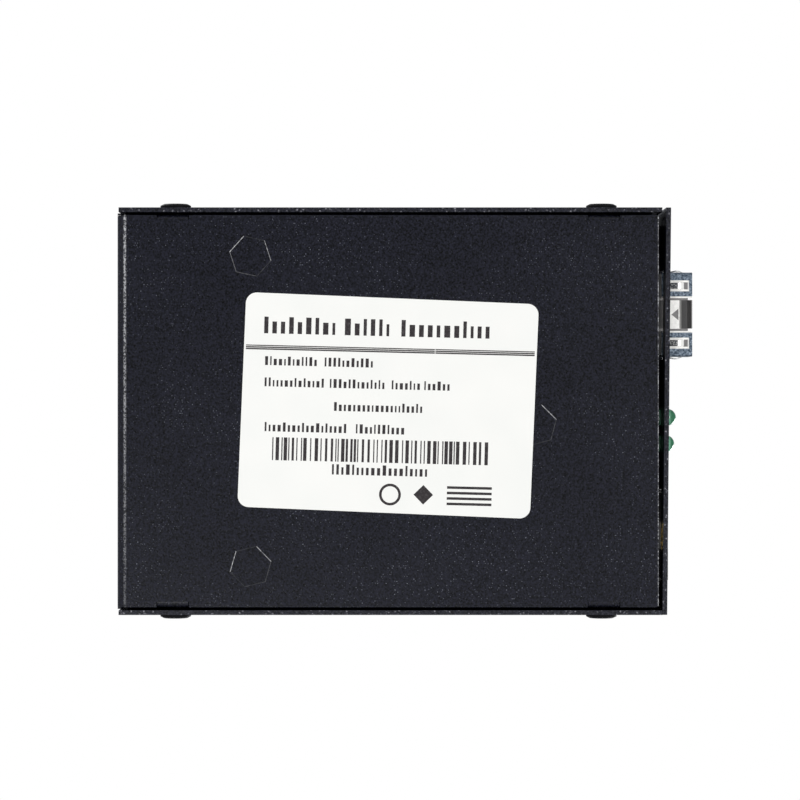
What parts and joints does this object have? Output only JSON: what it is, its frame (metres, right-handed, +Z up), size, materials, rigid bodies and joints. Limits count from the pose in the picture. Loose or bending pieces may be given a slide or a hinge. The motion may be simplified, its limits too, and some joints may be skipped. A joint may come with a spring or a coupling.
{
  "type": "fibre media converter",
  "caption": "Small black folded-steel network box with a pluggable optical cage, a modular copper jack, green status lamps and a rear power inlet.",
  "frame": {"origin": "middle of the underside, on the outer face of the sticker that the box rests on", "axes": "+Z up through the lid, -Y out of the port panel, +X to the modular jack's side"},
  "size_m": [0.073, 0.1008, 0.0261],
  "materials": {
    "powder_coat": "fine textured black powder coat",
    "black_screw": "black plated",
    "label_film": "satin white film",
    "board_green": "solder mask",
    "standoff_steel": "plated, painted over on the outside",
    "plated_steel": "nickel plated",
    "cage_steel": "nickel plated sheet",
    "collar_steel": "spring steel strip",
    "shield_steel": "nickel plated sheet",
    "connector_black": "moulded",
    "contact_gold": "gold plated",
    "lamp_green": "tinted clear resin",
    "tinned_lead": "tinned",
    "chip_black": "moulded resin",
    "ferrite_grey": "sintered",
    "sleeve_black": "shrunk sleeve",
    "fuse_green": "resin",
    "ceramic_tan": "fired"
  },
  "bodies": {
    "root": {"base_tray": "powder_coat", "top_cover": "powder_coat", "cover_screws": "black_screw", "label": "label_film", "pcb": "board_green", "pcb_standoffs": "standoff_steel", "pcb_screws": "plated_steel", "sfp_cage": "cage_steel", "sfp_emi_collar": "collar_steel", "sfp_connector": "connector_black", "sfp_contacts": "contact_gold", "rj45_shield": "shield_steel", "rj45_housing": "connector_black", "rj45_contacts": "contact_gold", "dc_jack_housing": "connector_black", "dc_jack_centre_pin": "plated_steel", "dc_jack_terminals": "tinned_lead", "led_lenses": "lamp_green", "led_leads": "tinned_lead", "led_holder": "connector_black", "converter_chip": "chip_black", "converter_chip_pins": "tinned_lead", "line_transformer": "chip_black", "line_transformer_pins": "tinned_lead", "memory_chip": "chip_black", "regulator_chip": "chip_black", "small_chip_pins": "tinned_lead", "power_inductor": "ferrite_grey", "crystal": "plated_steel", "bulk_capacitor_cans": "sleeve_black", "rectifier_diode": "chip_black", "input_fuse": "fuse_green", "power_end_caps": "tinned_lead", "ceramic_capacitors": "ceramic_tan", "chip_resistors": "chip_black"}
  },
  "joints": []
}
